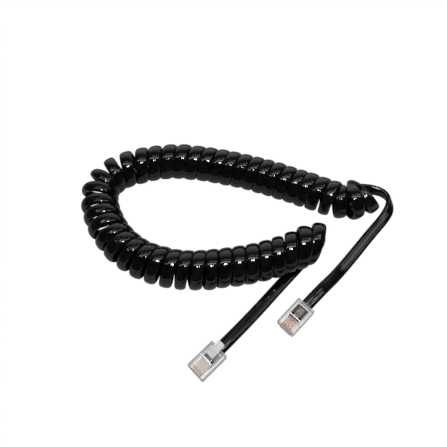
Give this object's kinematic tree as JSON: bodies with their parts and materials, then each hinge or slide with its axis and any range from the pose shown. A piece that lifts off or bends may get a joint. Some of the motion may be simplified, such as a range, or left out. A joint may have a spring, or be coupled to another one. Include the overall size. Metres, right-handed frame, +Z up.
{
  "type": "coiled handset cord",
  "caption": "Curly flat cord of a hand controller, lying in an open bend, with a straight tail and a clear latched modular plug at each end.",
  "frame": {"origin": "middle of the part's outline, on the surface it lies on", "axes": "+Z up from the surface; +X along the longer side of the outline, from the coil's closed bend towards its open ends; +Y from the plugs towards the coil"},
  "size_m": [0.137, 0.1027, 0.0181],
  "materials": {
    "cord_jacket": "glossy black flexible jacket",
    "plug_clear": "clear moulded plastic",
    "clamp_clear": "clear moulded plastic, crimped",
    "contact_gold": "gold plated",
    "wire_black": "insulation",
    "wire_red": "insulation",
    "wire_green": "insulation",
    "wire_yellow": "insulation"
  },
  "bodies": {
    "cord": {"coil": "cord_jacket", "tail_a": "cord_jacket", "tail_b": "cord_jacket", "plug_a_housing": "plug_clear", "plug_a_jacket": "cord_jacket", "plug_a_jacket_clamp": "clamp_clear", "plug_a_wire_clamp": "clamp_clear", "plug_a_wire_black": "wire_black", "plug_a_contact_1": "contact_gold", "plug_a_wire_red": "wire_red", "plug_a_contact_2": "contact_gold", "plug_a_wire_green": "wire_green", "plug_a_contact_3": "contact_gold", "plug_a_wire_yellow": "wire_yellow", "plug_a_contact_4": "contact_gold", "plug_b_housing": "plug_clear", "plug_b_jacket": "cord_jacket", "plug_b_jacket_clamp": "clamp_clear", "plug_b_wire_clamp": "clamp_clear", "plug_b_wire_black": "wire_black", "plug_b_contact_1": "contact_gold", "plug_b_wire_red": "wire_red", "plug_b_contact_2": "contact_gold", "plug_b_wire_green": "wire_green", "plug_b_contact_3": "contact_gold", "plug_b_wire_yellow": "wire_yellow", "plug_b_contact_4": "contact_gold"},
    "latch_a": {"plug_a_latch": "plug_clear"},
    "latch_b": {"plug_b_latch": "plug_clear"}
  },
  "joints": [
    {"name": "latch_a_press", "type": "hinge", "parent": "cord", "child": "latch_a", "pos_m": [-0.01666, -0.0482, 0.0057], "axis": [-0.6997, 0.7145, 0], "range_deg": [0, 9], "stiffness_Nm_per_rad": 0.35},
    {"name": "latch_b_press", "type": "hinge", "parent": "cord", "child": "latch_b", "pos_m": [0.01674, -0.03211, 0.00092], "axis": [0.7046, -0.7096, 0], "range_deg": [0, 9], "stiffness_Nm_per_rad": 0.35}
  ]
}
